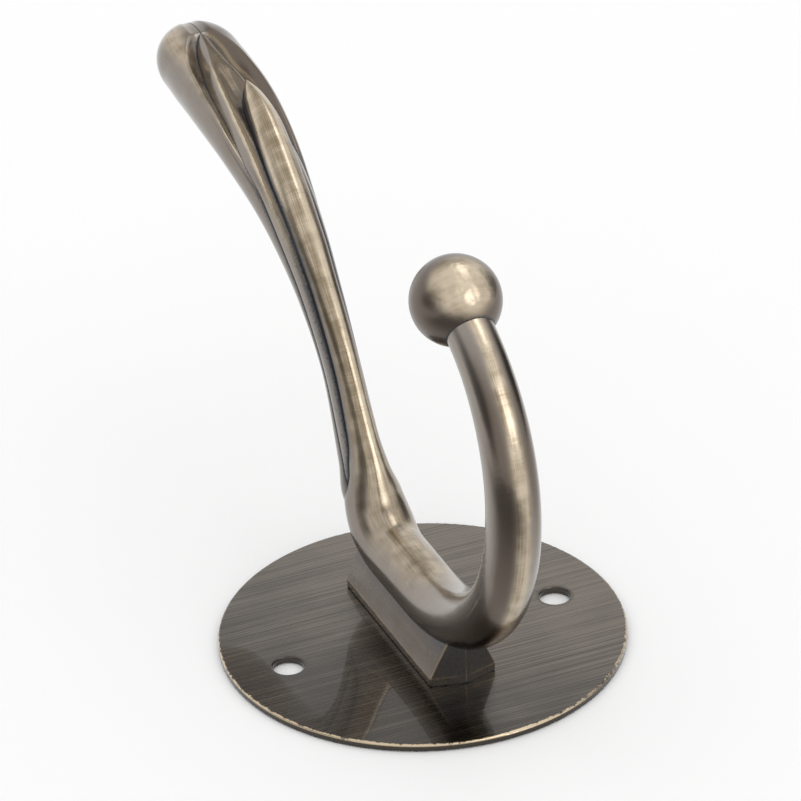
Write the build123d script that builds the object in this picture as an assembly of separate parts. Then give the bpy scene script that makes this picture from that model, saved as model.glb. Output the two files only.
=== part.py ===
import os
from math import cos, pi, radians, sin

from build123d import *

# A two-pronged wall coat hook: one die-cast hook with two tenons, fixed to a round stamped back plate.
# Millimetres. The wall is the plane Z = 0, +Z points out of it, +Y points up it,
# and the hook lies in the plane X = 0.

# Back plate
plate_diameter = 60.0
plate_thickness = 1.0
plate_edge_round = 0.3
screw_hole_diameter = 4.6
screw_hole_inset = 8.65
screw_hole_round = 0.25

# Foot of the casting, a drafted block with pointed ends that reaches up into the seat
foot_length = 30.4
foot_width = 10.4
foot_top_width = 4.9
foot_centre_y = 0.9
foot_nose = 1.3
foot_band_height = 1.2
foot_top_below_seat = 0.9
foot_edge_round = 0.35

# Two tenons of the casting pass through the plate and are spun flush at its back
tenon_diameter = 4.0
tenon_spacing = 18.0
tenon_head_flare = 0.7
tenon_head_depth = 0.6
tenon_clearance = 0.05

# Centre line of the hook, arcs and straight runs that meet tangentially
seat_height = 8.3
seat_start_y = -3.0
seat_length = 11.3
short_bend_radius = 30.3
short_curl_radius = 24.8
short_curl_angle = 61.0
rise_bend_radius = 10.6
rise_angle = 59.2
shank_length = 15.0
prong_bend_radius = 61.7
prong_end_angle = 5.4

# Short prong, a round bar that tapers up to its ball, and the oval seat between the prongs
ball_diameter = 13.1
ball_reach = 6.0
short_prong_tip_diameter = 7.0
short_prong_root_diameter = 9.2
seat_width = 9.2
seat_depth = 9.2

# Long prong, three nested leaves. A leaf is a list of sections along the prong's centre line:
# distance from the end of the seat, half width, half depth, offset towards the short prong.
# The last column of the front leaf is how far it leans sideways.
front_leaf = [
    (6.0, 4.8, 4.75, 0.2, 0.0),
    (11.0, 4.55, 4.85, 0.3, 0.0),
    (15.0, 3.8, 4.4, 0.75, 0.0),
    (20.0, 2.65, 3.3, 1.5, 0.0),
    (30.0, 2.0, 2.45, 2.15, 0.0),
    (41.0, 2.15, 2.3, 2.4, 0.0),
    (50.0, 2.55, 2.8, 2.8, 0.0),
    (58.0, 2.65, 3.2, 3.5, 0.1),
    (64.0, 2.55, 3.3, 3.9, 0.45),
    (69.0, 2.3, 3.2, 4.0, 0.9),
    (73.0, 1.75, 2.9, 4.1, 1.0),
    (75.4, 1.0, 2.3, 4.2, 1.0),
    (76.5, 0.25, 1.6, 4.6, 1.0),
]
# The last column of the middle leaf is its share of keel: 0 is an oval, 1 rises to a ridge.
middle_leaf = [
    (6.5, 2.6, 2.6, -0.3, 0.0),
    (17.0, 2.95, 3.0, -0.1, 0.0),
    (30.0, 2.75, 2.8, 0.3, 0.0),
    (41.0, 3.1, 3.0, 0.6, 0.0),
    (50.0, 3.6, 3.3, 1.2, 0.0),
    (58.0, 4.1, 3.5, 1.55, 0.2),
    (66.0, 4.6, 3.85, 1.35, 0.6),
    (73.0, 4.35, 3.8, 1.3, 1.0),
    (79.0, 3.8, 3.6, 1.4, 1.0),
    (82.0, 3.3, 3.6, 1.4, 1.0),
    (84.0, 2.8, 3.7, 1.35, 1.0),
    (86.0, 2.45, 3.3, 1.8, 1.0),
    (88.0, 2.1, 2.4, 2.75, 1.0),
    (90.0, 1.4, 1.4, 3.85, 1.0),
    (91.4, 0.2, 0.35, 4.95, 1.0),
]
# The back leaf swells into a bulb. Its last two columns are the half width
# and the depth of the valley in its front, which the middle leaf lies in.
back_leaf = [
    (6.5, 2.5, 2.7, -1.0, 1.7, 0.0),
    (17.0, 3.1, 3.0, -1.4, 2.1, 0.0),
    (30.0, 2.75, 2.7, -0.8, 1.9, 0.0),
    (41.0, 3.25, 3.0, -0.3, 2.7, 0.1),
    (50.0, 3.9, 3.65, -0.2, 3.4, 0.5),
    (58.0, 4.7, 4.3, 0.0, 4.3, 1.3),
    (65.0, 5.5, 4.85, 0.0, 5.2, 2.8),
    (71.0, 6.1, 5.15, 0.0, 5.5, 3.3),
    (77.0, 6.55, 5.4, 0.0, 5.5, 3.7),
    (82.0, 6.7, 5.55, 0.0, 5.2, 3.8),
    (86.0, 6.7, 5.65, 0.0, 4.7, 3.2),
    (88.0, 6.65, 5.7, 0.0, 4.0, 2.45),
    (90.0, 6.6, 5.7, 0.0, 2.9, 1.45),
    (91.5, 6.6, 5.7, 0.0, 1.9, 0.45),
]
bulb_cap_length = 8.05

section_points = 24


def section_plane(point, direction):
    """Plane across the centre line: local X is across the hook, local Y points to its inner side."""
    return Plane(origin=(0, point.X, point.Y), x_dir=(-1, 0, 0), z_dir=(0, direction.X, direction.Y))


def oval(plane, half_width, half_depth, offset=0.0, sideways=0.0, keel=0.0, valley_half_width=0.0, valley_depth=0.0):
    """Smooth closed section: an oval whose inner side may rise to a keel or sink into a flat valley."""
    points = []
    for step in range(section_points):
        turn = 2 * pi * step / section_points
        across = half_width * cos(turn)
        rise = sin(turn)
        if rise > 0:
            rise += keel * (1 - abs(cos(turn)) ** 1.5 - rise)
        inward = offset + half_depth * rise
        if rise > 0 and abs(across) < valley_half_width:
            inward -= valley_depth * (1 - (across / valley_half_width) ** 4) ** 2
        points.append((across - sideways, inward))
    return plane * make_face(Spline(*points, periodic=True))


# Centre line, drawn flat with Y across and Z up. The tail is at least as long as the leaves.
seat_z = plate_thickness + seat_height
seat = Line((seat_start_y, seat_z), (seat_start_y + seat_length, seat_z))
short_bend = JernArc(seat @ 0, -1 * (seat % 0), short_bend_radius, -90)
short_curl = JernArc(short_bend @ 1, short_bend % 1, short_curl_radius, -short_curl_angle)
ball_centre = short_curl @ 1 + ball_reach * (short_curl % 1)
rise_bend = JernArc(seat @ 1, seat % 1, rise_bend_radius, rise_angle)
shank = Line(rise_bend @ 1, rise_bend @ 1 + shank_length * (rise_bend % 1))
prong_bend = JernArc(shank @ 1, shank % 1, prong_bend_radius, prong_end_angle - rise_angle)
bulb_end = back_leaf[-1][0] + bulb_cap_length
prong_tail = Line(prong_bend @ 1, prong_bend @ 1 + bulb_end * (prong_bend % 1))
long_line = Wire([rise_bend.edge(), shank.edge(), prong_bend.edge(), prong_tail.edge()])


def leaf(sections, *extra):
    """Faces of a leaf's sections, set across the long prong's centre line, with the names of its extra columns."""
    faces = []
    for distance, half_width, half_depth, offset, *more in sections:
        point = long_line.position_at(distance, position_mode=PositionMode.LENGTH)
        direction = long_line.tangent_at(distance, position_mode=PositionMode.LENGTH)
        faces.append(oval(section_plane(point, direction), half_width, half_depth, offset, **dict(zip(extra, more))))
    return faces


def short_prong():
    """Round sections of the short prong from inside the ball down to the start of the seat."""
    steps = 5
    curl_share = short_curl.length / (short_curl.length + short_bend.length)
    tip_radius = short_prong_tip_diameter / 2
    root_radius = short_prong_root_diameter / 2
    faces = [oval(section_plane(ball_centre, -1 * (short_curl % 1)), tip_radius, tip_radius)]
    for curve, first, span in ((short_curl, 0.0, curl_share), (short_bend, curl_share, 1 - curl_share)):
        for step in range(steps):
            along = 1 - step / steps
            radius = tip_radius + (root_radius - tip_radius) * (first + span * step / steps)
            faces.append(oval(section_plane(curve @ along, -1 * (curve % along)), radius, radius))
    return faces


def make_front_bar():
    """Short prong, seat and front leaf are one bar, lofted from the ball to the leaf's point."""
    seat_faces = []
    for along in (0, 1):
        seat_faces.append(oval(section_plane(seat @ along, seat % along), seat_width / 2, seat_depth / 2))
    return loft(short_prong() + seat_faces + leaf(front_leaf, "sideways"))


def make_bulb():
    """Back leaf with its round end, whose sections shrink as those of a half ellipsoid."""
    start, half_width, half_depth, offset, valley_half_width, valley_depth = back_leaf[-1]
    cap = []
    for turn in (20, 37, 52, 65, 76, 85):
        distance = start + bulb_cap_length * sin(radians(turn))
        size = cos(radians(turn))
        cap.append((distance, half_width * size, half_depth * size, offset,
                    valley_half_width * size, valley_depth * size ** 2))
    return loft(leaf(back_leaf + cap, "valley_half_width", "valley_depth"))


def foot_outline(width, height):
    """Six-sided outline of the foot at a height, its ends pointed on the plane X = 0."""
    reach = foot_length / 2 + foot_nose
    corner = reach - foot_nose * width / foot_width
    half = width / 2
    points = [(half, corner), (0, reach), (-half, corner), (-half, -corner), (0, -reach), (half, -corner)]
    return Pos(0, foot_centre_y, height) * make_face(Polyline(*points, close=True))


def make_foot():
    """Block with drafted sides on an upright band, its corners eased."""
    base = plate_thickness
    shoulder = base + foot_band_height
    top = seat_z - foot_top_below_seat
    band = extrude(foot_outline(foot_width, base), foot_band_height)
    block = loft([foot_outline(foot_width, shoulder), foot_outline(foot_top_width, top)], ruled=True)
    foot = band + block
    corners = []
    for edge in foot.edges():
        middle = edge.center()
        if base < middle.Z < top and abs(middle.X) > foot_top_width / 2:
            corners.append(edge)
    return fillet(corners, foot_edge_round)


def tenon_places():
    return [Pos(0, foot_centre_y + side * tenon_spacing / 2) for side in (-1, 1)]


def tenon(grown=0.0):
    """Tenon with its countersunk head. Grown by a clearance, it is the cutter for its hole."""
    upward = (Align.CENTER, Align.CENTER, Align.MIN)
    radius = tenon_diameter / 2 + grown
    stem = Cylinder(radius, plate_thickness, align=upward)
    return stem + Cone(radius + tenon_head_flare, radius, tenon_head_depth, align=upward)


def make_hook():
    ball = Pos(0, ball_centre.X, ball_centre.Y) * Sphere(ball_diameter / 2)
    hook = make_front_bar() + ball + loft(leaf(middle_leaf, "keel")) + make_bulb() + make_foot()
    for place in tenon_places():
        hook += place * tenon()
    return hook


def make_plate():
    upward = (Align.CENTER, Align.CENTER, Align.MIN)
    plate = Cylinder(plate_diameter / 2, plate_thickness, align=upward)
    plate = fillet(plate.edges().group_by(Axis.Z)[-1], plate_edge_round)
    for side in (-1, 1):
        hole = Cylinder(screw_hole_diameter / 2, plate_thickness, align=upward)
        plate -= Pos(side * (plate_diameter / 2 - screw_hole_inset), 0) * hole
    plate = fillet(plate.edges().group_by(Axis.Z)[-1].filter_by(rim_of_screw_hole), screw_hole_round)
    for place in tenon_places():
        plate -= place * tenon(tenon_clearance)
    return plate


def rim_of_screw_hole(edge):
    return abs(edge.radius - screw_hole_diameter / 2) < screw_hole_round / 2


os.makedirs("parts", exist_ok=True)
for name, solid in (("back_plate", make_plate()), ("hook_casting", make_hook())):
    export_step(solid, f"parts/{name}.step")
    print(name, len(solid.solids()), round(solid.volume, 1))
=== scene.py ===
# %% [markdown]
# # A two-pronged wall coat hook
# The real hook is one zinc casting, plated in antique brass and fixed to a round brushed plate.
# The casting is a bar that is bent like a U. One end carries a ball, and the other end opens
# into three leaves that lie inside each other. Every surface below is a formula on a grid.

import bpy
import numpy as np
from mathutils import Matrix


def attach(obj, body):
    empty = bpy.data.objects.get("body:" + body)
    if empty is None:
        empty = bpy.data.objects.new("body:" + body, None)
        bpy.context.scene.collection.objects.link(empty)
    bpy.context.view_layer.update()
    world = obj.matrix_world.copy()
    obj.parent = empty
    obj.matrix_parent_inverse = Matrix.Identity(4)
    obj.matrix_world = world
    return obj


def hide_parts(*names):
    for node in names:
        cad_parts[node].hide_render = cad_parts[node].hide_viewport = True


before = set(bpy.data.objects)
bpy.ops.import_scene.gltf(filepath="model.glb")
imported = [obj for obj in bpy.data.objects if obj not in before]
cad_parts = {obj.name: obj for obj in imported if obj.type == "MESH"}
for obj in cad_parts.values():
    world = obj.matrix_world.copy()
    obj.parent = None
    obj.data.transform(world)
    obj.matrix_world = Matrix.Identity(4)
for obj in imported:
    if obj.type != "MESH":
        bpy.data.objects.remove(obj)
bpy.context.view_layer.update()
MM = 0.001

# %% [markdown]
# ## The centre line
# A bent bar is easiest to think of as a line with a section carried along it. The line could be a
# Blender curve, but a formula gives the exact place and heading for every ring at once.
# It runs from the ball down the short prong, along the seat and up the long prong.

# %% Runs of the centre line
PLATE_THICKNESS = 1.0
SEAT_HEIGHT = 8.3
SEAT_START = np.array([-3.0, PLATE_THICKNESS + SEAT_HEIGHT])
START_HEADING = np.radians(209.0)
# Name, radius of an arc or length of a straight run in mm, turn in degrees
runs = [
    ("inside the ball", 6.0, 0.0),
    ("curl", 24.8, 61.0),
    ("bend", 30.3, 90.0),
    ("seat", 11.3, 0.0),
    ("rise", 10.6, 59.2),
    ("shank", 15.0, 0.0),
    ("prong bend", 61.7, -53.8),
    ("prong tail", 60.0, 0.0),
]
run_names = [name for name, size, degrees in runs]
run_size = np.array([size for name, size, degrees in runs])
run_turn = np.radians([degrees for name, size, degrees in runs])
run_length = np.where(run_turn == 0, run_size, run_size * np.abs(run_turn))
run_start = np.concatenate([[0.0], np.cumsum(run_length)])
run_heading = START_HEADING + np.concatenate([[0.0], np.cumsum(run_turn)])
print(len(runs), "runs, together", round(float(run_start[-1]), 1), "mm long")


# %% Place and heading on the line
def chord(length, turn, heading):
    """Straight step across an arc: its length times the sine ratio, half-way between its end headings."""
    reach = length * np.sinc(turn / (2 * np.pi))
    return np.stack([reach * np.cos(heading + turn / 2), reach * np.sin(heading + turn / 2)], -1)


SEAT_RUN = run_names.index("seat")
PRONG_BEGIN = run_start[run_names.index("curl")]
SEAT_BEGIN = run_start[SEAT_RUN]
SEAT_END = run_start[SEAT_RUN + 1]
run_point = np.concatenate([[[0.0, 0.0]], np.cumsum(chord(run_length, run_turn, run_heading[:-1]), 0)])
run_point += SEAT_START - run_point[SEAT_RUN]


def centre_line(distance):
    """Place (y, z) and heading at distances from the ball: start of a run plus the chord walked on it."""
    run = np.clip(np.searchsorted(run_start, distance, side="right") - 1, 0, len(run_length) - 1)
    walked = distance - run_start[run]
    turn = run_turn[run] * walked / run_length[run]
    place = run_point[run] + chord(walked, turn, run_heading[run])
    return place, run_heading[run] + turn


print("the seat runs from", round(float(SEAT_BEGIN), 1), "to", round(float(SEAT_END), 1), "mm from the ball")

# %% [markdown]
# ## Smooth tables
# The maker's drawing gives a few sections, and the metal flows smoothly between them. A straight
# blend would leave creases, so each column of a table becomes a cubic curve.


# %% Smooth curve through a table
def smooth_curve(knots, values, at):
    """Cubic between knots. The slope at a knot is the harmonic mean of both sides, so nothing overshoots."""
    gap = np.diff(knots)
    rise = np.diff(values) / gap
    product = rise[:-1] * rise[1:]
    total = rise[:-1] + rise[1:]
    inner = np.where(product > 0, 2 * product / np.where(product > 0, total, 1), 0)
    slope = np.concatenate([rise[:1], inner, rise[-1:]])
    i = np.clip(np.searchsorted(knots, at, side="right") - 1, 0, len(gap) - 1)
    t = (at - knots[i]) / gap[i]
    start = values[i] * (1 + 2 * t) * (1 - t) ** 2 + slope[i] * gap[i] * t * (1 - t) ** 2
    end = values[i + 1] * t ** 2 * (3 - 2 * t) - slope[i + 1] * gap[i] * t ** 2 * (1 - t)
    return start + end


def columns(table, extra, at):
    """Columns of a table as smooth curves of its first one, by name. A column that it lacks is 0."""
    table = np.array(table, float)
    sizes = {name: np.zeros_like(at) for name in ("sideways", "keel", "valley_half", "valley_depth")}
    for k, name in enumerate(("half_width", "half_depth", "offset", *extra)):
        sizes[name] = smooth_curve(table[:, 0], table[:, k + 1], at)
    return sizes


# %% [markdown]
# ## A skin from rings
# A swept surface is a grid: one row per ring, one column per step round the ring. Blender's own
# extrude would build it ring by ring. Here whole arrays do: each grid point once, a quad between
# four neighbours, and a fan that closes each end.


# %% Grid to mesh
def skin(name, grid, along, marks):
    """Closed mesh from rings of points in mm. Faces join each ring to the next, and a fan closes each end.
    The UV map holds the turn round the ring and the distance along in mm. Marks are one value per point."""
    rings, around = grid.shape[:2]
    index = np.arange(rings * around).reshape(rings, around)
    beside = np.roll(index, -1, 1)
    quads = np.stack([index[:-1], beside[:-1], beside[1:], index[1:]], -1).reshape(-1, 4)
    tips = rings * around + np.array([0, 1])
    first_fan = np.stack([np.full(around, tips[0]), beside[0], index[0]], -1)
    last_fan = np.stack([np.full(around, tips[1]), index[-1], beside[-1]], -1)
    points = np.concatenate([grid.reshape(-1, 3), [grid[0].mean(0), grid[-1].mean(0)]]) * MM
    mesh = bpy.data.meshes.new(name)
    mesh.from_pydata(points.tolist(), [], quads.tolist() + first_fan.tolist() + last_fan.tolist())
    mesh.polygons.foreach_set("use_smooth", np.ones(len(mesh.polygons), bool))
    u = np.arange(around) / around
    v = np.broadcast_to(along[:, None], (rings, around))
    corner_u = np.broadcast_to(np.stack([u, u + 1 / around, u + 1 / around, u], -1), (rings - 1, around, 4))
    corner_v = np.stack([v[:-1], v[:-1], v[1:], v[1:]], -1)
    fan_u = np.stack([u, u, u], -1)
    fan_v = np.ones((around, 3))
    flat_u = np.concatenate([corner_u.ravel(), fan_u.ravel(), fan_u.ravel()])
    flat_v = np.concatenate([corner_v.ravel(), (fan_v * along[0]).ravel(), (fan_v * along[-1]).ravel()])
    mesh.uv_layers.new(name="UVMap").data.foreach_set("uv", np.stack([flat_u, flat_v], -1).ravel())
    for mark, values in marks.items():
        ends = [values[0].mean(), values[-1].mean()]
        attribute = mesh.attributes.new(mark, "FLOAT", "POINT")
        attribute.data.foreach_set("value", np.append(values.ravel(), ends))
    mesh.validate()
    piece = bpy.data.objects.new(name, mesh)
    bpy.context.scene.collection.objects.link(piece)
    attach(piece, "root")
    print(name, len(mesh.vertices), "points,", 2 * (len(quads) + around), "triangles")
    return piece


# %% [markdown]
# ## Sections along the line
# The bar and the leaves are ovals that change as they go along the line. A leaf also has a ridge on its
# inner side or a valley that the next leaf lies in. Sculpting would do for one leaf, but a formula keeps
# all three in step, and gives their ridges and valleys in mm.

# %% Sections along the line
RIDGE_POWER = 1.5
NO_VALLEY = 0.01


def sweep(distance, sections, turns, valley_power=4):
    """Sections across the centre line: half width times cosine across, half depth times sine inward.
    A share of keel turns the inner side from the sine into a ridge, 1 - |cosine|^1.5, and a valley
    sinks it by its depth times (1 - (across / its half width)^p)^2, where a power p of 4 gives a flat floor
    and 2 a round one. Returns the points, and how far across and inward they lie."""
    size = {name: column[:, None] for name, column in sections.items()}
    across = size["half_width"] * np.cos(turns)
    share = np.clip(1 - (across / (size["valley_half"] + NO_VALLEY)) ** valley_power, 0, 1)
    ridge = 1 - np.abs(np.cos(turns)) ** RIDGE_POWER
    inner_side = np.sin(turns) > 0
    rise = np.sin(turns) + np.where(inner_side, size["keel"] * (ridge - np.sin(turns)), 0)
    sunk = np.where(inner_side, size["valley_depth"] * share ** 2, 0)
    inward = size["half_depth"] * rise + size["offset"] - sunk
    across = across + size["sideways"]
    place, heading = centre_line(distance)
    y = place[:, :1] - np.sin(heading)[:, None] * inward
    z = place[:, 1:] + np.cos(heading)[:, None] * inward
    return np.stack([across, y, z], -1), across, inward


# %% [markdown]
# ## Sections of the casting
# The bar is round at the ball, grows towards the seat and then narrows into the front leaf.
# The middle leaf and the back leaf start inside the bar and come out of it, one behind the other.
# The tables follow the CAD's, but for what the photo shows and the solid leaves out: wider leaf ends beside
# the seat, a softer ridge at the middle leaf's tip, and a hollow in that leaf for the front leaf.

# %% Tables of the three leaves
# Distance from the end of the seat, half width, half depth, offset to the inner side, shift sideways
front_leaf = [
    (6.0, 4.8, 4.75, 0.2, 0.0),
    (11.0, 4.3, 4.85, 0.3, 0.0),
    (15.0, 3.1, 4.4, 0.75, 0.0),
    (20.0, 2.35, 3.3, 1.5, 0.0),
    (30.0, 2.0, 2.45, 2.15, 0.0),
    (41.0, 2.15, 2.3, 2.4, 0.0),
    (50.0, 2.55, 2.8, 2.8, 0.0),
    (58.0, 2.65, 3.2, 3.5, 0.1),
    (64.0, 2.55, 3.3, 3.9, 0.45),
    (69.0, 2.3, 3.2, 4.0, 0.9),
    (73.0, 1.75, 2.9, 4.1, 1.0),
    (75.4, 1.0, 2.3, 4.2, 1.0),
    (76.5, 0.25, 1.6, 4.6, 1.0),
]
# Distance from the end of the seat, half width, half depth, offset to the inner side, share of keel
middle_leaf = [
    (6.5, 2.6, 2.6, -0.3, 0.0),
    (12.5, 3.75, 3.3, -0.2, 0.0),
    (17.0, 3.1, 3.0, -0.1, 0.0),
    (30.0, 2.75, 2.8, 0.3, 0.0),
    (41.0, 3.1, 3.0, 0.6, 0.0),
    (50.0, 3.6, 3.3, 1.2, 0.0),
    (58.0, 4.1, 3.5, 1.55, 0.2),
    (66.0, 4.6, 3.85, 1.35, 0.6),
    (73.0, 4.35, 3.8, 1.3, 1.0),
    (79.0, 3.8, 3.6, 1.4, 0.9),
    (82.0, 3.3, 3.6, 1.4, 0.7),
    (84.0, 2.8, 3.7, 1.35, 0.55),
    (86.0, 2.45, 3.3, 1.8, 0.45),
    (88.0, 2.1, 2.4, 2.75, 0.4),
    (90.0, 1.4, 1.4, 3.85, 0.4),
    (91.4, 0.2, 0.35, 4.95, 0.4),
]
# Hollow of the middle leaf: distance from the end of the seat, half width, depth
middle_hollow = [
    (6.5, 0.5, 0.0),
    (41.0, 2.4, 0.0),
    (50.0, 3.4, 0.5),
    (58.0, 3.9, 1.0),
    (66.0, 3.5, 1.5),
    (71.0, 3.1, 1.7),
    (76.0, 2.6, 1.8),
    (80.0, 2.1, 1.3),
    (84.0, 1.5, 0.5),
    (88.0, 0.6, 0.0),
    (91.4, 0.1, 0.0),
]
# Distance from the end of the seat, half width, half depth, offset, half width and depth of the valley
back_leaf = [
    (6.5, 2.5, 2.7, -1.0, 1.7, 0.0),
    (12.5, 4.1, 3.6, -0.8, 1.9, 0.0),
    (17.0, 3.3, 3.0, -1.4, 2.1, 0.0),
    (30.0, 2.75, 2.7, -0.8, 1.9, 0.0),
    (41.0, 3.25, 3.0, -0.3, 2.7, 0.1),
    (50.0, 3.9, 3.65, -0.2, 3.4, 0.5),
    (58.0, 4.7, 4.3, 0.0, 4.3, 1.3),
    (65.0, 5.5, 4.85, 0.0, 5.2, 2.8),
    (71.0, 6.1, 5.15, 0.0, 5.5, 3.3),
    (77.0, 6.55, 5.4, 0.0, 5.5, 3.7),
    (82.0, 6.7, 5.55, 0.0, 5.2, 3.8),
    (86.0, 6.7, 5.65, 0.0, 4.7, 3.2),
    (88.0, 6.65, 5.7, 0.0, 4.0, 2.45),
    (90.0, 6.6, 5.7, 0.0, 2.9, 1.45),
    (91.5, 6.6, 5.7, 0.0, 1.9, 0.45),
]
LEAF_START = middle_leaf[0][0]
FRONT_END = front_leaf[-1][0]
MIDDLE_END = middle_leaf[-1][0]
BULB_START = back_leaf[-1][0]
print("the leaves end", FRONT_END, MIDDLE_END, BULB_START, "mm from the seat")

# %% Table of the bar
PRONG_TIP_RADIUS = 3.5
PRONG_ROOT_RADIUS = 4.59
SEAT_RADIUS = 4.6
PRONG_SECTIONS = 6
rod_distance = np.concatenate([[0.0], np.linspace(PRONG_BEGIN, SEAT_BEGIN, PRONG_SECTIONS)])
rod_radius = np.interp(rod_distance, [PRONG_BEGIN, SEAT_BEGIN], [PRONG_TIP_RADIUS, PRONG_ROOT_RADIUS])
short_prong = [(distance, radius, radius, 0.0, 0.0) for distance, radius in zip(rod_distance, rod_radius)]
seat = [(SEAT_END, SEAT_RADIUS, SEAT_RADIUS, 0.0, 0.0)]
bar = short_prong + seat + [(SEAT_END + row[0], *row[1:]) for row in front_leaf]
print("the bar has", len(bar), "sections")


# %% Sections at any distance
BULB_CAP = 8.045


def bar_sections(distance):
    """Smooth columns of the bar, by the distance from the ball."""
    return columns(bar, ("sideways",), distance)


def middle_sections(along):
    """Smooth columns of the middle leaf, with the hollow that the front leaf lies in."""
    hollow = np.array(middle_hollow)
    sizes = columns(middle_leaf, ("keel",), along)
    sizes["valley_half"] = smooth_curve(hollow[:, 0], hollow[:, 1], along)
    sizes["valley_depth"] = smooth_curve(hollow[:, 0], hollow[:, 2], along)
    return sizes


def back_sections(along):
    """Smooth columns of the back leaf. Past its last section it shrinks as a half ellipse does."""
    sizes = columns(back_leaf, ("valley_half", "valley_depth"), np.minimum(along, BULB_START))
    shrink = np.sqrt(1 - np.clip((along - BULB_START) / BULB_CAP, 0, 1) ** 2)
    for name in ("half_width", "half_depth", "valley_half"):
        sizes[name] = sizes[name] * shrink
    sizes["valley_depth"] = sizes["valley_depth"] * shrink ** 2
    return sizes


# %% [markdown]
# ## Marks for the plating
# On the real hook the plating is dark in the grooves and bright on the crests that the mop reached.
# Painting that by hand would be slow, so each point of a skin gets three numbers:
# groove, crest and shade. They come from where the point lies, and the material reads them later.
# They also hold painted light: the groove mark adds painted shade, the crest mark adds painted highlights,
# and the shade mark is painted shade as well as duller patina.
# A mark is built from bells and ramps. Their numbers are mm along or across, or degrees round the bar,
# and were set against the photo. The share in front of one is how strong that mark gets.

# %% Helpers for marks
RIDGE_SLOPE = 0.7
FAR = 9.0


def depth_inside(across, inward, sections):
    """Rough distance in mm from a point to a section, below zero inside it: (scaled radius - 1) times its
    size, or the height over the ridge where the section has a keel."""
    size = {name: column[:, None] for name, column in sections.items()}
    beside = (across - size["sideways"]) / size["half_width"]
    above = (inward - size["offset"]) / size["half_depth"]
    scaled = np.hypot(beside, above) - 1
    ridge = RIDGE_SLOPE * (above - 1 + np.abs(beside) ** RIDGE_POWER)
    scaled = np.where(above > 0, scaled + size["keel"] * (ridge - scaled), scaled)
    return scaled * np.minimum(size["half_width"], size["half_depth"])


def groove_near(distance, reach=0.45):
    """1 at the line where two leaves meet, and less away from it, over a reach in mm."""
    return np.exp(-np.clip(distance, 0, None) / reach)


def bell(value, centre, width):
    """1 at a centre, falling away as a normal curve of a width."""
    return np.exp(-((value - centre) / width) ** 2)


def ramp(value, start, end):
    """0 up to a start, 1 from an end, and straight between them, whichever is larger."""
    return np.clip((value - start) / (end - start), 0, 1)


# %% [markdown]
# ## The bar: short prong, seat and front leaf
# On the real hook this is one smooth run of metal, so it is one skin. Separate parts would show a
# seam where they meet. Rings are closer together on the leaf than on the short prong, where
# nothing changes quickly.

# %% Rings of the bar
AROUND = 240
PRONG_RINGS = 110
LEAF_RINGS = 200
# The turns run backwards, because faces then point outward
turns = -2 * np.pi * np.arange(AROUND) / AROUND
lean = np.cos(turns)
facing_in = np.sin(turns)
inner_side = facing_in > 0
prong_rings = np.linspace(0, SEAT_END, PRONG_RINGS)[:-1]
bar_rings = np.concatenate([prong_rings, np.linspace(SEAT_END, SEAT_END + FRONT_END, LEAF_RINGS)])
bar_grid, bar_across, bar_inward = sweep(bar_rings, bar_sections(bar_rings), turns)
bar_neighbour = middle_sections(np.maximum(bar_rings - SEAT_END, LEAF_START))
bar_to_middle = depth_inside(bar_across, bar_inward, bar_neighbour)
print("bar of", len(bar_rings), "rings")

# %% [markdown]
# A bright stripe runs along the outer side of the short prong, partly buffed brass and partly painted
# highlight, between two bands of painted shade. The front leaf is brighter on top, partly buffed and partly
# painted highlight, with painted shade on its left half, its right flank and its outer side.

# %% Marks of the bar
from_ball = bar_rings[:, None]
from_seat = from_ball - SEAT_END
# Degrees from the outer side, to the right above zero
outward = np.degrees(np.arctan2(lean, -facing_in))
PRONG_FADE = 12.0
on_prong = 1 - ramp(from_ball, SEAT_BEGIN - PRONG_FADE, SEAT_BEGIN)
on_leaf = ramp(from_seat, 12, 20)
# Painted shade: a dark band on each side of the short prong's outer stripe
prong_right_shade = bell(outward, 35, 21) * bell(from_ball, 21, 16)
prong_left_shade = bell(outward, -40, 25) * ramp(from_ball, 4, 18)
prong_shade = np.maximum(prong_left_shade, prong_right_shade)
# Outer stripe of the short prong: partly buffed brass, partly painted highlight
prong_crest = bell(outward, -2, 17)

# Painted shade on the front leaf's right flank and left half, and on the outer side of seat and leaf; the
# seat is also a little duller
leaf_right_shade = ramp(lean, 0.5, 0.75)
leaf_left_shade = 0.5 * ramp(lean, 0.1, -0.2)
# Bright left edge beside the middle leaf: partly rubbed brass, partly painted highlight
left_arris = bell(bar_to_middle, 0.75, 0.3) * (lean < 0) * ramp(from_seat, 40, 55)
leaf_side = on_leaf * np.maximum(leaf_left_shade, leaf_right_shade) + 0.35 * (1 - on_leaf)
leaf_shade = np.maximum(ramp(facing_in, 0.6, -0.4), leaf_side) * (1 - left_arris)
# Brighter inner side: partly buffed crest, partly painted highlight
leaf_top = (0.6 + 0.4 * on_leaf) * np.clip(facing_in, 0, 1) ** 1.5
leaf_crest = np.maximum(leaf_top * (1 - 0.75 * leaf_right_shade * on_leaf), left_arris)
pitted = 0.3 * bell(lean, -0.1, 0.4) * bell(from_seat, 60, 11) * inner_side
bar_marks = {
    "groove_and_shade": np.maximum(groove_near(bar_to_middle) * on_leaf, pitted),
    "crest_and_highlight": on_prong * prong_crest + (1 - on_prong) * leaf_crest,
    "shade": on_prong * prong_shade + (1 - on_prong) * leaf_shade,
}
hook_bar = skin("hook_bar", bar_grid, bar_rings, bar_marks)
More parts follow.
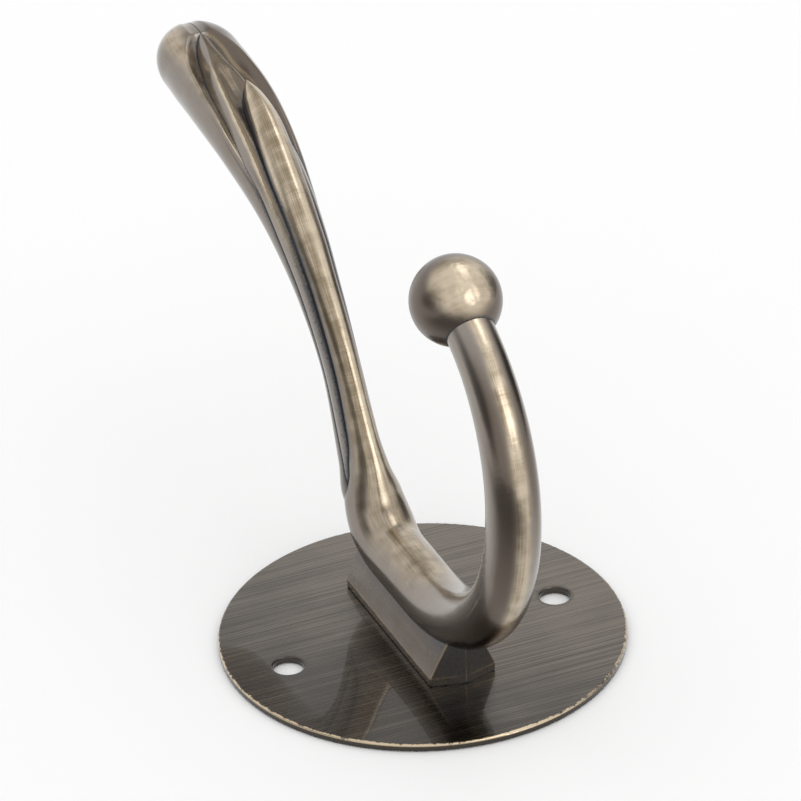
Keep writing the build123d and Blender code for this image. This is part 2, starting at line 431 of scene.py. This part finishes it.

# %% [markdown]
# ## The middle leaf
# The leaves are skins of the same kind. They run into each other, as clay leaves would that are pressed
# together, so no cutting is needed. Where they meet the casting has a groove. The hollow of
# the middle leaf is darker, partly patina and partly painted shade, with a painted shadow just past the
# front leaf's tip. Its left edge is bright, partly rubbed brass and partly painted highlight.

# %% Make the middle leaf
TIP_START = 88.0
MIDDLE_RINGS = 180
TIP_RINGS = 24
POINT_GAP = 0.1
PAST_POINT = 0.5
ARRIS_PLACE = 0.85
middle_rings = np.linspace(LEAF_START, TIP_START, MIDDLE_RINGS)[:-1]
middle_along = np.concatenate([middle_rings, np.linspace(TIP_START, MIDDLE_END, TIP_RINGS)])
middle_sizes = middle_sections(middle_along)
middle_distance = SEAT_END + middle_along
middle_grid, middle_across, middle_inward = sweep(middle_distance, middle_sizes, turns, valley_power=2)
middle_at = middle_along[:, None]
middle_neighbour = bar_sections(SEAT_END + np.minimum(middle_along, FRONT_END - POINT_GAP))
middle_to_bar = depth_inside(middle_across, middle_inward, middle_neighbour)
middle_to_bar = np.where(middle_at > FRONT_END + PAST_POINT, FAR, middle_to_bar)
arris_place = ARRIS_PLACE * middle_sizes["valley_half"][:, None]
# Bright left edge of the hollow: partly rubbed brass, partly painted highlight
arris = bell(middle_across, -arris_place, 0.35) * ramp(middle_at, 86, 80)
# The hollow is darker: partly patina, partly painted shade
in_hollow = ramp(middle_at, 45, 55) * (np.abs(middle_across) < arris_place)
# Painted shadow of the front leaf's tip on the middle leaf
bar_tip_shadow = 0.5 * bell(middle_at, 77.2, 1.9) * bell(middle_across, 0.3, 1.5) * inner_side
groove_reach = 0.4 + 0.7 * bell(middle_at, 34, 16)
middle_marks = {
    "groove_and_shade": np.maximum(groove_near(middle_to_bar, groove_reach), bar_tip_shadow),
    "crest_and_highlight": np.maximum(arris, 0.3 * in_hollow) * inner_side,
    "shade": in_hollow * inner_side,
}
middle_piece = skin("middle_leaf", middle_grid, middle_along, middle_marks)

# %% [markdown]
# ## The back leaf
# The back leaf ends in a round bulb. Its last rings stand closer and closer together, as circles of
# latitude do near a pole, so that the cap is round. A fine crease runs over its top, and a
# bright lip, partly buffed and partly painted highlight, lies along the right of the middle leaf.
# The left lobe has a painted highlight and a wide band of painted shade beside the groove, and the right
# flank has painted shade.

# %% Make the back leaf
CAP_RINGS = 40
BACK_RINGS = 220
cap_turn = np.linspace(0, np.pi / 2, CAP_RINGS)[1:-1]
back_rings = np.linspace(LEAF_START, BULB_START, BACK_RINGS)
back_along = np.concatenate([back_rings, BULB_START + BULB_CAP * np.sin(cap_turn)])
back_grid, back_across, back_inward = sweep(SEAT_END + back_along, back_sections(back_along), turns)
back_at = back_along[:, None]
back_neighbour = middle_sections(np.minimum(back_along, MIDDLE_END))
back_to_middle = depth_inside(back_across, back_inward, back_neighbour)
back_to_middle = np.where(back_at > MIDDLE_END, FAR, back_to_middle)
crease = bell(back_across, 0, 0.16) * ((back_at > 91) & (back_at < 97)) * inner_side
# Bright lip on the right beside the middle leaf: partly buffed, partly painted highlight
lip = bell(back_to_middle, 0.65, 0.25) * (back_across > 0) * ramp(back_at, 77, 81)
# Dark beside the groove: patina close to it, and on the left past 68 mm a wider band of painted shade
stain_and_shade_reach = 0.35 + ramp(back_at, 68, 76) * (back_across < 0)
stain_and_shade = 0.5 * groove_near(back_to_middle, stain_and_shade_reach) + 0.5 * groove_near(back_to_middle, 0.3)
# Painted shade on the right flank, fading out before the cap; painted highlight along the left lobe
back_right_shade = ramp(back_across, -0.4, 1.6) * ramp(facing_in, -0.3, 0.7) * ramp(back_at, 97, 90)
left_gleam = 0.6 * bell(facing_in, 0.75, 0.2) * (back_across < 0)
back_marks = {
    "groove_and_shade": np.maximum(stain_and_shade, crease),
    "crest_and_highlight": np.maximum(left_gleam, lip),
    "shade": 0.3 + 0.6 * back_right_shade,
}
back_piece = skin("back_leaf", back_grid, back_along, back_marks)

# %% [markdown]
# ## The ball
# A ball is a ring that grows and shrinks along an axis. Blender's own sphere has its poles up and down.
# Here the axis is that of the short prong, so the seam where the bar enters the ball is a true
# circle. The ball is bright on the side facing up and to the front, partly buffed brass and partly
# painted highlight, and its limbs have painted shade.

# %% Make the ball
BALL_RADIUS = 6.55
SEAM_REACH = 5.6
BALL_RINGS = 72
BRIGHT_SIDE = np.array([-0.07, -0.62, 0.78])
polar = np.linspace(0, np.pi, BALL_RINGS)[1:-1]
ball_place, ball_heading = centre_line(np.zeros(1))
ball_along = -BALL_RADIUS * np.cos(polar)
ball_ring = BALL_RADIUS * np.sin(polar)
ball_inward = ball_ring[:, None] * facing_in
ball_y = ball_place[0, 0] + np.cos(ball_heading) * ball_along[:, None] - np.sin(ball_heading) * ball_inward
ball_z = ball_place[0, 1] + np.sin(ball_heading) * ball_along[:, None] + np.cos(ball_heading) * ball_inward
ball_grid = np.stack([ball_ring[:, None] * lean, ball_y, ball_z], -1)
to_seam = np.hypot(ball_ring - PRONG_TIP_RADIUS, np.clip(SEAM_REACH - ball_along, 0, None))
ball_centre = np.array([0.0, *ball_place[0]])
facing = (ball_grid - ball_centre) @ BRIGHT_SIDE / BALL_RADIUS
# Bright side facing up and to the front: partly buffed brass, partly painted highlight; painted shade on the
# limbs
ball_marks = {
    "groove_and_shade": np.broadcast_to(groove_near(to_seam)[:, None], ball_inward.shape),
    "crest_and_highlight": ramp(facing, 0.6, 0.9),
    "shade": 0.95 * ramp(facing, 0.91, 0.55),
}
ball_piece = skin("ball", ball_grid, ball_along, ball_marks)

# %% [markdown]
# ## The foot
# The foot is a block with pointed ends and drafted sides. A cube with bevels would do, but its six
# rounded corners are simple to write: arcs about the corners of a smaller outline.

# %% Outline of the foot
FOOT_LENGTH = 30.4
FOOT_WIDTH = 10.4
FOOT_NOSE = 1.3
FOOT_CENTRE = 0.9
FOOT_ROUND = 0.35
CORNER_STEPS = 7


def rounded_outline(corners, radius, steps):
    """Outline of a convex shape with round corners: each corner moves in by the radius along both edge
    normals, and an arc of that radius turns from one normal to the next."""
    edge = np.roll(corners, -1, 0) - corners
    normal = np.stack([edge[:, 1], -edge[:, 0]], -1) / np.linalg.norm(edge, axis=1, keepdims=True)
    before = np.roll(normal, 1, 0)
    inner = corners - radius * (before + normal) / (1 + np.sum(before * normal, 1, keepdims=True))
    start = np.arctan2(before[:, 1], before[:, 0])
    turn = np.mod(np.arctan2(normal[:, 1], normal[:, 0]) - start, 2 * np.pi)
    angle = start[:, None] + turn[:, None] * np.linspace(0, 1, steps)
    return (inner[:, None] + radius * np.stack([np.cos(angle), np.sin(angle)], -1)).reshape(-1, 2)


def foot_ring(width):
    """Six corners of the foot for one width, rounded. The tips of its ends stay in place as it narrows."""
    reach = FOOT_LENGTH / 2 + FOOT_NOSE
    corner = reach - FOOT_NOSE * width / FOOT_WIDTH
    half = width / 2
    points = [(half, -corner), (half, corner), (0, reach), (-half, corner), (-half, -corner), (0, -reach)]
    return rounded_outline(np.array(points), FOOT_ROUND, CORNER_STEPS) + [0, FOOT_CENTRE]


# %% [markdown]
# The sides stand upright in a low band and then lean in. A soft bend between the two catches the light
# as a cast edge does, so the width follows a rounded corner: a straight draft times the
# logarithm of 1 plus an exponential, which is 0 below the band and a straight line above it.

# %% Make the foot
FOOT_TOP_WIDTH = 4.9
FOOT_BAND = 1.2
FOOT_TOP = 7.4
BEND_SOFTNESS = 0.1
EASED_WIDTH = 0.5
EASED_HEIGHT = 0.2
# Brightness across each corner arc: partly wear, partly painted highlight
ARC_WEAR_AND_HIGHLIGHT = np.array([0.0, 0.4, 0.9, 1.0, 0.9, 0.4, 0.0])
# Rings stand close together at the plate and at the bend
low_rings = [0.0, 0.08, 0.2, 0.4]
foot_height = np.concatenate([low_rings, np.linspace(0.8, 1.6, 17), np.linspace(2.0, FOOT_TOP, 12)])
draft = (FOOT_WIDTH - FOOT_TOP_WIDTH) / (FOOT_TOP - FOOT_BAND)
above_band = BEND_SOFTNESS * np.log1p(np.exp((foot_height - FOOT_BAND) / BEND_SOFTNESS))
foot_widths = FOOT_WIDTH - draft * above_band - EASED_WIDTH * ramp(foot_height, EASED_HEIGHT, 0) ** 2
foot_outlines = np.stack([foot_ring(width) for width in foot_widths])
foot_shape = foot_outlines.shape[:2]
foot_z = np.broadcast_to((PLATE_THICKNESS + foot_height)[:, None], foot_shape)
foot_grid = np.concatenate([foot_outlines, foot_z[..., None]], -1)
foot_y = foot_grid[..., 1] - FOOT_CENTRE
from_plate = foot_height[:, None] + np.zeros(foot_shape)
# Bright bend at the top of the band: partly buffed edge, partly painted highlight
band_edge = 0.9 * bell(from_plate, FOOT_BAND, 0.18)
# Painted shade below the band, down at the plate
below_band_shade = 0.6 * ramp(from_plate, 0.9, 0)
# Painted shade on the pointed end faces
end_face_shade = np.clip(np.abs(foot_y) - FOOT_LENGTH / 2 + 0.35, 0, 0.62)
# Painted shade, darker towards the far end
far_end_shade = 0.38 * ramp(foot_y, -FOOT_LENGTH / 2, FOOT_LENGTH / 2)
# Corners: partly worn bright, partly painted highlight
corner_wear_and_highlight = np.tile(ARC_WEAR_AND_HIGHLIGHT, foot_shape[1] // CORNER_STEPS) * (from_plate > 0.6)
foot_marks = {
    "groove_and_shade": np.maximum(np.maximum(end_face_shade, below_band_shade), far_end_shade) * (1 - corner_wear_and_highlight),
    "crest_and_highlight": np.maximum(band_edge, corner_wear_and_highlight),
    # Painted shade, darker towards the top
    "shade": 0.2 + 0.9 * ramp(foot_z / FOOT_TOP, 0.1, 1.1),
}
foot_piece = skin("foot", foot_grid, foot_height, foot_marks)

# %% [markdown]
# ## The spun tenons
# Two tenons of the casting go through the plate and are spun over at its back. Each one is a
# profile turned about its own axis, as the Screw modifier would do it.

# %% Make the tenons
TENON_RADIUS = 2.0
TENON_FLARE = 0.7
TENON_DEPTH = 0.6
TENON_SPACING = 18.0
TENON_AROUND = 48
# Radius and height of each ring
tenon_profile = np.array([
    (0.2, 0.06),
    (1.4, 0.04),
    (2.2, 0.0),
    (TENON_RADIUS + TENON_FLARE, 0.02),
    (TENON_RADIUS, TENON_DEPTH),
    (TENON_RADIUS, PLATE_THICKNESS + 0.5),
])
tenon_turns = 2 * np.pi * np.arange(TENON_AROUND) / TENON_AROUND
tenon_pieces = []
for name, side in (("tenon_low", -1), ("tenon_high", 1)):
    ring_x = tenon_profile[:, :1] * np.cos(tenon_turns)
    ring_y = tenon_profile[:, :1] * np.sin(tenon_turns) + FOOT_CENTRE + side * TENON_SPACING / 2
    ring_z = np.broadcast_to(tenon_profile[:, 1:], ring_x.shape)
    tenon_marks = {mark: np.zeros(ring_x.shape) for mark in ("groove_and_shade", "crest_and_highlight", "shade")}
    tenon_grid = np.stack([ring_x, ring_y, ring_z], -1)
    tenon_pieces.append(skin(name, tenon_grid, tenon_profile[:, 1], tenon_marks))

# %% [markdown]
# ## One casting
# All these skins stand for one solid of the CAD, so the solid is hidden and the skins take its place.

# %% Stand for the casting
casting = (hook_bar, middle_piece, back_piece, ball_piece, foot_piece, *tenon_pieces)
for piece in casting:
    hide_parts("hook_casting")
print(len(casting), "skins stand for the casting")

# %% [markdown]
# ## Shader maths
# A material is a graph of nodes. Formulas are easier to read, so a small class wraps a socket:
# adding or multiplying two of them adds the Math node, and one method makes any other node.

# %% Sockets as values
BUMP_DEPTH = 0.0002


class Value:
    """A socket of a node tree that can stand in a formula."""

    def __init__(self, tree, socket):
        self.tree = tree
        self.socket = socket

    def make(self, kind, settings=None, inputs=None, output=0):
        """New node of a kind: its settings first, then its sockets' values or links."""
        node = self.tree.nodes.new(kind)
        for key, setting in (settings or {}).items():
            setattr(node, key, setting)
        for key, value in (inputs or {}).items():
            if isinstance(value, Value):
                self.tree.links.new(value.socket, node.inputs[key])
            else:
                node.inputs[key].default_value = value
        return Value(self.tree, node.outputs[output])

    def output(self, key):
        """Another output of the same node."""
        return Value(self.tree, self.socket.node.outputs[key])

    def maths(self, operation, *others):
        """Math node with this as its first number."""
        return self.make("ShaderNodeMath", {"operation": operation}, dict(enumerate((self, *others))))

    def vector(self, operation, *others, output=0):
        """Vector Math node with this as its first vector. Output 1 is a number."""
        inputs = dict(enumerate((self, *others)))
        return self.make("ShaderNodeVectorMath", {"operation": operation}, inputs, output)

    def clamp(self):
        """This value kept from 0 to 1."""
        return self.make("ShaderNodeClamp", None, {0: self})

    def mix(self, low, high):
        """Colour between two, by this factor."""
        return self.make("ShaderNodeMix", {"data_type": "RGBA"}, {0: self, 6: low, 7: high}, 2)

    def step(self, low, high):
        """0 below low, 1 above high, smooth between."""
        settings = {"interpolation_type": "SMOOTHSTEP"}
        return self.make("ShaderNodeMapRange", settings, {0: self, 1: low, 2: high, 3: 0.0, 4: 1.0})

    def noise(self, scale, detail=3.0, roughness=0.6):
        """Noise from 0 to 1 at this place."""
        inputs = {0: self, "Scale": scale, "Detail": detail, "Roughness": roughness}
        return self.make("ShaderNodeTexNoise", None, inputs)

    def stretch(self, scale, turn=0.0):
        """This place, turned about Z and scaled along each axis."""
        return self.make("ShaderNodeMapping", None, {0: self, "Rotation": (0, 0, turn), "Scale": scale})

    def split(self):
        """X of this place. Outputs 1 and 2 of it are Y and Z."""
        return self.make("ShaderNodeSeparateXYZ", None, {0: self})

    def roll(self, around, along):
        """This UV place rolled into a tube, so that noise has no seam: steps in a turn, and steps in a mm."""
        share = self.split()
        angle = share * (2 * np.pi)
        radius = around / (2 * np.pi)
        sides = {0: angle.maths("COSINE") * radius, 1: angle.maths("SINE") * radius}
        sides[2] = share.output(1) * along
        return self.make("ShaderNodeCombineXYZ", None, sides)

    def mark(self, name):
        """Value of a mark on the mesh."""
        return self.make("ShaderNodeAttribute", {"attribute_name": name}, None, 2)

    def bump(self, strength):
        """Normal of a surface that has this height."""
        inputs = {"Strength": strength, "Distance": BUMP_DEPTH, "Height": self}
        return self.make("ShaderNodeBump", None, inputs)

    def __add__(self, other):
        return self.maths("ADD", other)

    def __sub__(self, other):
        return self.maths("SUBTRACT", other)

    def __rsub__(self, other):
        return self.make("ShaderNodeMath", {"operation": "SUBTRACT"}, {0: other, 1: self})

    def __mul__(self, other):
        return self.maths("MULTIPLY", other)

    __radd__ = __add__
    __rmul__ = __mul__


# %% A metal to start from
def new_metal(name):
    """Material with one metal shader. Returns it, its shader and the place on the object."""
    material = bpy.data.materials.new(name)
    material.use_nodes = True
    tree = material.node_tree
    shader = tree.nodes["Principled BSDF"]
    shader.inputs["Metallic"].default_value = 1.0
    coordinates = tree.nodes.new("ShaderNodeTexCoord")
    return material, shader, Value(tree, coordinates.outputs["Object"])


def feed(shader, **sockets):
    """Link values to sockets of a shader by name, with _ for a space."""
    for key, value in sockets.items():
        value.tree.links.new(value.socket, shader.inputs[key.replace("_", " ")])


# %% [markdown]
# ## Antique brass
# The casting is plated with brass, darkened, and then buffed so that the brass shows again where
# the mop reached. Grooves stay dark. A painted picture could hold that, but formulas stay sharp at any
# size. The colour follows the three marks on the mesh, broken up by noise, and with them their painted
# shade and painted highlights. Fine scratches run round the bar, streaks run along it, and a thin lacquer
# lies over it all.

# %% Antique brass material
# PATINA_GREY is the plain patina. The brown, the stained gold and the groove colours also carry painted
# shade, and the bright gold carries painted highlight as well as buffed brass
PATINA_GREY = (0.285, 0.253, 0.222, 1)
PATINA_AND_SHADE_BROWN = (0.14, 0.112, 0.09, 1)
BUFFED_AND_HIGHLIGHT_GOLD = (0.60, 0.505, 0.38, 1)
GOLD_STAIN_AND_SHADE = (0.25, 0.195, 0.125, 1)
GROOVE_AND_SHADE_BLUE = (0.10, 0.105, 0.115, 1)
GROOVE_AND_SHADE_BLACK = (0.03, 0.028, 0.03, 1)


def antique_brass(name, mottle, streaks):
    """Plated brass. Mottle breaks the polish up into blotches, and streaks run along the piece.
    Each sum weighs marks and noise, and a smooth step turns it into a share of a colour."""
    material, shader, place = new_metal(name)
    wrapped = place.output("UV")
    groove_and_shade = place.mark("groove_and_shade")
    crest_and_highlight = place.mark("crest_and_highlight")
    shade = place.mark("shade")
    cloud = place.noise(240.0, detail=4.0)
    wave = place.noise(170.0, detail=1.0, roughness=0.4)
    blotch = place.noise(430.0, detail=1.0, roughness=0.4)
    dimple = place.noise(780.0, detail=1.0, roughness=0.4) * crest_and_highlight * mottle
    grain = place.noise(2600.0, detail=3.0, roughness=0.7)
    scratch = wrapped.roll(around=2.0, along=3.2).noise(1.0, detail=4.0, roughness=0.7)
    drawn = 0.5 + (wrapped.roll(around=90.0, along=0.16).noise(1.0) - 0.5) * streaks
    # Buffed brass and painted highlight, where the crest mark is high
    buffed_and_highlit = (crest_and_highlight + cloud * 0.5 + drawn * 0.5 + scratch * 0.35 - 0.68).step(0.0, 0.75)
    # Stains, and painted shade from the shade mark
    stain_and_shade = blotch * 0.5 + dimple * 0.4 + drawn * 0.65 + scratch * 0.3 + shade * 0.6
    stained_and_shaded = (stain_and_shade - (0.42 + 0.2 * mottle)).step(0.2, 0.75)
    # Dull patina and painted shade, from the shade mark
    dull_and_shaded = (shade + cloud * 0.4 + drawn * 0.3 - 0.35).step(0.0, 0.9)
    pits = (grain + groove_and_shade * 0.22).step(0.76, 0.80) * groove_and_shade
    # Patina in the grooves, and painted shade where the groove mark holds it
    patina_and_shade = ((groove_and_shade + grain * 0.5 + drawn * 0.2 - 0.35).step(0.25, 0.85) + pits).clamp()
    dull_and_shaded_colour = dull_and_shaded.mix(PATINA_GREY, PATINA_AND_SHADE_BROWN)
    gold = stained_and_shaded.mix(BUFFED_AND_HIGHLIGHT_GOLD, GOLD_STAIN_AND_SHADE)
    dark = (groove_and_shade + pits).step(0.62, 0.95).mix(GROOVE_AND_SHADE_BLUE, GROOVE_AND_SHADE_BLACK)
    feed(shader, Base_Color=patina_and_shade.mix(buffed_and_highlit.mix(dull_and_shaded_colour, gold), dark))
    feed(shader, Roughness=(0.12 + 0.2 * mottle) + 0.06 * cloud + 0.08 * scratch + 0.3 * patina_and_shade)
    shader.inputs["Coat Weight"].default_value = 0.35
    shader.inputs["Coat Roughness"].default_value = 0.07
    height = scratch * 0.5 + grain * 0.25 + drawn * 0.3 + dimple * 14.0 + wave * 3.0 - pits * 1.5
    feed(shader, Normal=height.bump(0.12))
    return material


brass = antique_brass("antique_brass", mottle=0.1, streaks=1.0)
ball_brass = antique_brass("mottled_brass", mottle=0.6, streaks=0.0)
for piece in casting:
    piece.data.materials.append(ball_brass if piece is ball_piece else brass)
print("brass nodes", len(brass.node_tree.nodes))

# %% [markdown]
# ## The brushed plate
# The plate was brushed in straight lines, darkened and lacquered. Straight brushing is noise that is
# stretched along one direction. The lacquer is the shader's coat. The rim is bright brass, most of all
# in front. Painted shade darkens the plate round its screw holes, and a painted reflection
# lightens it towards the back right.

# %% Brushed bronze material
BRUSH_TURN = np.radians(-10.0)
PLATE_RADIUS = 30.0
HOLE_PLACE = 21.35
PER_METRE = 1000.0
BRONZE_DARK = (0.052, 0.042, 0.033, 1)
BRONZE_LIGHT = (0.176, 0.146, 0.116, 1)
RIM_BRIGHT = (0.62, 0.5, 0.34, 1)


def brushed_bronze(name):
    """Lacquered bronze. Its tone follows stretched noise. Lengths are in mm from the plate's centre."""
    material, shader, place = new_metal(name)
    fine = place.stretch((24.0, 3400.0, 24.0), BRUSH_TURN).noise(1.0, detail=3.0, roughness=0.65)
    broad = place.stretch((14.0, 800.0, 14.0), BRUSH_TURN).noise(1.0, detail=3.0, roughness=0.6)
    cloud = place.noise(70.0)
    speck = place.noise(1500.0, detail=3.0, roughness=0.7)
    flat = place.vector("MULTIPLY", (PER_METRE, PER_METRE, 0.0))
    radius = flat.vector("LENGTH", output=1)
    to_hole = flat.vector("ABSOLUTE").vector("DISTANCE", (HOLE_PLACE, 0.0, 0.0), output=1)
    x = place.split()
    y = x.output(1)
    height = x.output(2) * PER_METRE
    # Painted reflection: the plate is lighter towards the back right
    far_right_sheen = (x + y) * 2.5
    tone = (fine * 0.72 + broad * 0.28 + cloud * 0.2 + far_right_sheen - 0.11).step(0.36, 0.66)
    # A bright brass rim, brightest at the front
    rim_brightness = radius + speck * 1.1 + cloud * 0.9 + y * -6.0
    rim_brightness = rim_brightness.step(PLATE_RADIUS + 0.78, PLATE_RADIUS + 0.95)
    rim = rim_brightness * radius.step(PLATE_RADIUS - 0.75, PLATE_RADIUS - 0.3) * height.step(0.62, 0.8)
    wall = 1 - height.step(0.55, 0.75)
    # Painted shade round the screw holes
    hole_shade = 1 - to_hole.step(2.5, 3.1)
    colour = tone.mix(BRONZE_DARK, BRONZE_LIGHT)
    colour = (hole_shade * 0.75 + wall).clamp().mix(colour, BRONZE_DARK)
    feed(shader, Base_Color=rim.mix(colour, RIM_BRIGHT), Roughness=0.20 + 0.16 * fine)
    shader.inputs["Coat Weight"].default_value = 0.75
    shader.inputs["Coat Roughness"].default_value = 0.03
    feed(shader, Normal=fine.bump(0.06))
    return material


bronze = brushed_bronze("brushed_bronze")
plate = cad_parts["back_plate"]
plate.data.materials.clear()
plate.data.materials.append(bronze)
print("plate nodes", len(bronze.node_tree.nodes))

# %% [markdown]
# ## Camera
# The photo was taken from the end of the short prong, a little to the left and from above, with a long
# lens. The camera could be aimed by a Track To constraint, but its measured tilt is exact as a matrix:
# three columns for right, up and back.

# %% Place the camera
AZIMUTH, ELEVATION, ROLL = np.radians([-22.79, 30.47, -1.85])
DISTANCE = 800.0
ACROSS = -3.25
UPWARD = 33.64
PIXELS_PER_MM = 6.828
PICTURE_WIDTH = 801
SENSOR_WIDTH = 36
ahead = np.array([np.sin(AZIMUTH), -np.cos(AZIMUTH), 0.0])
level = np.array([np.cos(AZIMUTH), np.sin(AZIMUTH), 0.0])
back = np.cos(ELEVATION) * ahead + np.sin(ELEVATION) * np.array([0.0, 0.0, 1.0])
upright = np.cross(back, level)
right = np.cos(ROLL) * level + np.sin(ROLL) * upright
up = np.cross(back, right)
pose = np.eye(4)
pose[:3, :3] = np.stack([right, up, back], -1)
pose[:3, 3] = (back * DISTANCE + right * ACROSS + up * UPWARD + [0, 0, PLATE_THICKNESS]) * MM
lens = bpy.data.cameras.new("camera")
lens.lens = PIXELS_PER_MM * DISTANCE / PICTURE_WIDTH * SENSOR_WIDTH
lens.sensor_width = SENSOR_WIDTH
lens.clip_end = 20
camera = bpy.data.objects.new("camera", lens)
camera.matrix_world = Matrix(pose.tolist())
bpy.context.scene.collection.objects.link(camera)
bpy.context.scene.camera = camera
print("lens", round(lens.lens, 1), "mm")

# %% [markdown]
# ## Floor
# The plate lies on white paper, a little above it so that the two don't share a plane.


# %% Make the floor
def stage_sheet(name, corners, material):
    """Flat sheet of the studio between four corners in mm."""
    mesh = bpy.data.meshes.new(name)
    mesh.from_pydata((np.array(corners) * MM).tolist(), [], [(0, 1, 2, 3)])
    mesh.uv_layers.new(name="UVMap").data.foreach_set("uv", [0.0, 0.0, 1.0, 0.0, 1.0, 1.0, 0.0, 1.0])
    mesh.materials.append(material)
    piece = bpy.data.objects.new(name, mesh)
    bpy.context.scene.collection.objects.link(piece)
    return piece


PAPER_WHITE = (0.99, 0.99, 0.99, 1)
FLOOR_HALF = 2000.0
FLOOR_DROP = 0.2
paper = bpy.data.materials.new("paper")
paper.use_nodes = True
paper_shader = paper.node_tree.nodes["Principled BSDF"]
paper_shader.inputs["Base Color"].default_value = PAPER_WHITE
paper_shader.inputs["Roughness"].default_value = 1.0
floor_corners = FLOOR_HALF * np.array([(-1, -1, 0), (1, -1, 0), (1, 1, 0), (-1, 1, 0)])
floor_corners = floor_corners - [0, 0, FLOOR_DROP]
stage_sheet("floor", floor_corners, paper)
print("floor", 2 * FLOOR_HALF, "mm wide")

# %% [markdown]
# ## Cards
# Polished metal shows its surroundings, so a studio puts cards round it: white softboxes and strips for
# the bright streaks, and dark flags for the dark ones. Lamps would light the paper too. The cards
# here are seen only in reflections, and their edges are soft.


# %% A card
def card_material(name, strength, soft):
    """Even glow that fades to clear towards the card's edges over a share of its size."""
    material = bpy.data.materials.new(name)
    material.use_nodes = True
    tree = material.node_tree
    tree.nodes.remove(tree.nodes["Principled BSDF"])
    place = Value(tree, tree.nodes.new("ShaderNodeTexCoord").outputs["UV"])
    u = place.split()
    inside = [(0.5 - (way - 0.5).maths("ABSOLUTE")).step(0.0, soft) for way in (u, u.output(1))]
    glow = place.make("ShaderNodeEmission", None, {"Strength": strength})
    clear = place.make("ShaderNodeBsdfTransparent")
    both = place.make("ShaderNodeMixShader", None, {0: inside[0] * inside[1], 1: clear, 2: glow})
    tree.links.new(both.socket, tree.nodes["Material Output"].inputs["Surface"])
    return material


def compass(azimuth, elevation):
    """Unit vector: azimuth from -Y towards +X, elevation from the floor."""
    turn, lift = np.radians([azimuth, elevation])
    return np.array([np.sin(turn) * np.cos(lift), -np.cos(turn) * np.cos(lift), np.sin(lift)])


CARD_AIM = np.array([0.0, 10.0, 40.0])


def card(name, azimuth, elevation, distance, width, height, strength, soft, lying):
    """Card in a direction from the hook, which faces the hook or lies flat."""
    towards = compass(azimuth, elevation)
    side = compass(azimuth + 90, 0)
    upward = compass(azimuth, 0) if lying else np.cross(towards, side)
    centre = CARD_AIM + towards * distance
    corners = [centre + side * across * width / 2 + upward * along * height / 2
               for across, along in ((-1, -1), (1, -1), (1, 1), (-1, 1))]
    piece = stage_sheet(name, corners, card_material(name, strength, soft))
    piece.visible_camera = False
    piece.visible_diffuse = False
    piece.visible_shadow = False
    piece.visible_transmission = False


# %% Set up the cards
# Name, azimuth, elevation, distance, width, height, strength, soft edge as a share, lying flat
cards = [
    ("flag_left", -88, 12, 600, 920, 600, 0.24, 0.4, False),
    ("softbox", 20, 33, 700, 480, 520, 2.6, 0.25, False),
    ("ceiling", 20, 76, 580, 640, 900, 0.95, 0.3, False),
    ("strip", 90, 67.5, 590, 1200, 230, 2.5, 0.3, True),
    ("flag_right", 98, 6, 400, 440, 460, 0.12, 0.38, False),
    ("flag_behind", 157, 44, 460, 620, 260, 0.6, 0.3, False),
    ("flag_floor", -34, -10, 230, 320, 440, 0.3, 0.26, True),
]
for row in cards:
    card(*row)
print(len(cards), "cards")

# %% [markdown]
# ## World
# The photo's background is white all over, so the world is white and gives the even light as well.

# %% Light the world
world = bpy.data.worlds.new("studio")
world.use_nodes = True
bpy.context.scene.world = world
world.node_tree.nodes["Background"].inputs["Color"].default_value = (1, 1, 1, 1)
world.node_tree.nodes["Background"].inputs["Strength"].default_value = 1.0
bpy.context.scene.view_settings.view_transform = "Standard"
